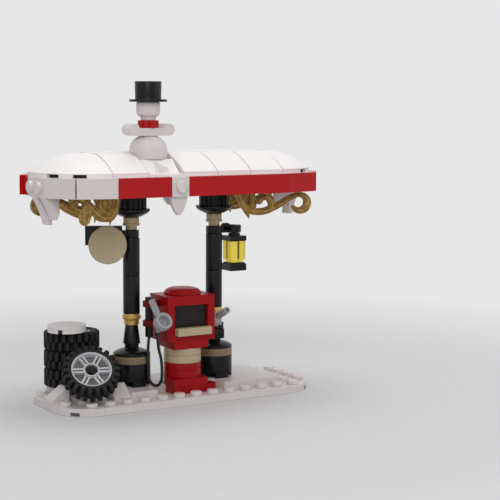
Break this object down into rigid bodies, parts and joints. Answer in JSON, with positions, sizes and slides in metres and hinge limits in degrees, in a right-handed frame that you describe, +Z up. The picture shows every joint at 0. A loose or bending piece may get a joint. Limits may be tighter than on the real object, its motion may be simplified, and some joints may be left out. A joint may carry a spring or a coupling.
{
  "type": "building brick service station",
  "caption": "Toy service station of interlocking bricks: fuel pump, hose, stacked wheels, swinging sign, lantern, and a snowy canopy with a snowman.",
  "frame": {"origin": "centre of the base's underside, on the surface it stands on", "axes": "+Z up, +X along the length to the right, -Y towards the front with the pump's window"},
  "size_m": [0.1326, 0.061, 0.1339],
  "materials": {
    "base_white": "white moulded plastic",
    "smoke_white": "white moulded plastic in shade",
    "snow_white": "glossy white moulded plastic",
    "black": "glossy black moulded plastic",
    "red": "glossy red moulded plastic",
    "dark_tan": "dark tan moulded plastic",
    "tan": "tan moulded plastic",
    "gold": "pearl gold moulded plastic",
    "grey": "light grey moulded plastic",
    "smoke_glass": "dark glossy window",
    "yellow_clear": "transparent yellow plastic",
    "tyre_rubber": "matt black rubber",
    "hose_rubber": "black flexible tube"
  },
  "bodies": {
    "station": {"base_middle": "base_white", "base_ends": "base_white", "upper_plate": "base_white", "stack_plate": "base_white", "wheel_chocks": "base_white", "column_drums": "black", "column_rings": "dark_tan", "column_dishes": "black", "column_cones": "black", "column_collars": "gold", "column_tubes": "black", "column_pins": "black", "column_bushes": "dark_tan", "column_head_dishes": "black", "column_capitals": "black", "pump_base": "red", "pump_drum": "red", "pump_neck_rings": "tan", "pump_underpart": "red", "pump_cabinet": "red", "pump_window": "smoke_glass", "pump_shelf": "tan", "pump_dome": "red", "hose_holders": "black", "holder_clips": "red", "left_hose": "hose_rubber", "canopy_plate": "smoke_white", "fascia_white": "smoke_white", "fascia_red": "red", "fascia_tooth": "smoke_white", "end_claws": "smoke_white", "roof_slopes": "snow_white", "roof_ridge": "snow_white", "roof_ends": "snow_white", "snow_mound": "snow_white", "scrolls_left": "gold", "scrolls_right": "gold", "snowman_body": "snow_white", "stack_post": "black"},
    "left_nozzle": {"left_nozzle": "grey"},
    "right_nozzle": {"right_nozzle": "grey"},
    "snowman_arms": {"snowman_arms": "snow_white"},
    "snowman_head": {"snowman_collar": "red", "snowman_head": "snow_white"},
    "snowman_hat": {"snowman_hat": "black"},
    "sign": {"sign_plate": "black", "sign_disc": "dark_tan"},
    "lantern_bracket": {"lantern_arm": "black"},
    "lantern": {"lantern_cap": "black", "lantern_lens": "yellow_clear", "lantern_base": "black"},
    "spare_wheel": {"spare_tyre": "tyre_rubber", "spare_rim": "grey"},
    "stack_disc": {"stack_disc": "snow_white"},
    "stack_wheel_lower": {"stack_tyre_lower": "tyre_rubber", "stack_rim_lower": "grey"},
    "stack_wheel_middle": {"stack_tyre_middle": "tyre_rubber", "stack_rim_middle": "grey"},
    "stack_wheel_upper": {"stack_tyre_upper": "tyre_rubber", "stack_rim_upper": "grey"}
  },
  "joints": [
    {"name": "snowman_arms_turn", "type": "hinge", "parent": "station", "child": "snowman_arms", "pos_m": [-0.016, -0.008, 0.1116], "axis": [0, 0, 1], "continuous": true},
    {"name": "snowman_head_turn", "type": "hinge", "parent": "snowman_arms", "child": "snowman_head", "pos_m": [-0.016, -0.008, 0.115], "axis": [0, 0, 1], "continuous": true},
    {"name": "snowman_hat_turn", "type": "hinge", "parent": "snowman_head", "child": "snowman_hat", "pos_m": [-0.016, -0.008, 0.126], "axis": [0, 0, 1], "continuous": true},
    {"name": "sign_swing", "type": "hinge", "parent": "station", "child": "sign", "pos_m": [-0.02, 0, 0.0705], "axis": [0, 0, 1], "continuous": true},
    {"name": "lantern_swing", "type": "hinge", "parent": "station", "child": "lantern_bracket", "pos_m": [0.02, 0, 0.0705], "axis": [0, 0, 1], "continuous": true},
    {"name": "lantern_turn", "type": "hinge", "parent": "lantern_bracket", "child": "lantern", "pos_m": [0.0302, 0, 0.067], "axis": [0, 0, 1], "continuous": true},
    {"name": "spare_wheel_spin", "type": "hinge", "parent": "station", "child": "spare_wheel", "pos_m": [-0.046, -0.0149, 0.0159], "axis": [-0.2223, -0.6841, 0.6947], "continuous": true},
    {"name": "left_nozzle_pivot", "type": "hinge", "parent": "station", "child": "left_nozzle", "pos_m": [-0.0166, -0.0169, 0.031], "axis": [0, 0, 1], "range_deg": [-20, 10]},
    {"name": "right_nozzle_pivot", "type": "hinge", "parent": "station", "child": "right_nozzle", "pos_m": [0.0189, -0.0083, 0.0302], "axis": [0, 0, 1], "range_deg": [-10, 10]},
    {"name": "stack_disc_turn", "type": "hinge", "parent": "station", "child": "stack_disc", "pos_m": [-0.044, 0.008, 0.031], "axis": [0, 0, 1], "continuous": true},
    {"name": "stack_wheel_lower_turn", "type": "hinge", "parent": "station", "child": "stack_wheel_lower", "pos_m": [-0.044, 0.008, 0.0111], "axis": [0, 0, 1], "continuous": true},
    {"name": "stack_wheel_middle_turn", "type": "hinge", "parent": "station", "child": "stack_wheel_middle", "pos_m": [-0.044, 0.008, 0.0189], "axis": [0, 0, 1], "continuous": true},
    {"name": "stack_wheel_upper_turn", "type": "hinge", "parent": "station", "child": "stack_wheel_upper", "pos_m": [-0.044, 0.008, 0.0267], "axis": [0, 0, 1], "continuous": true}
  ]
}
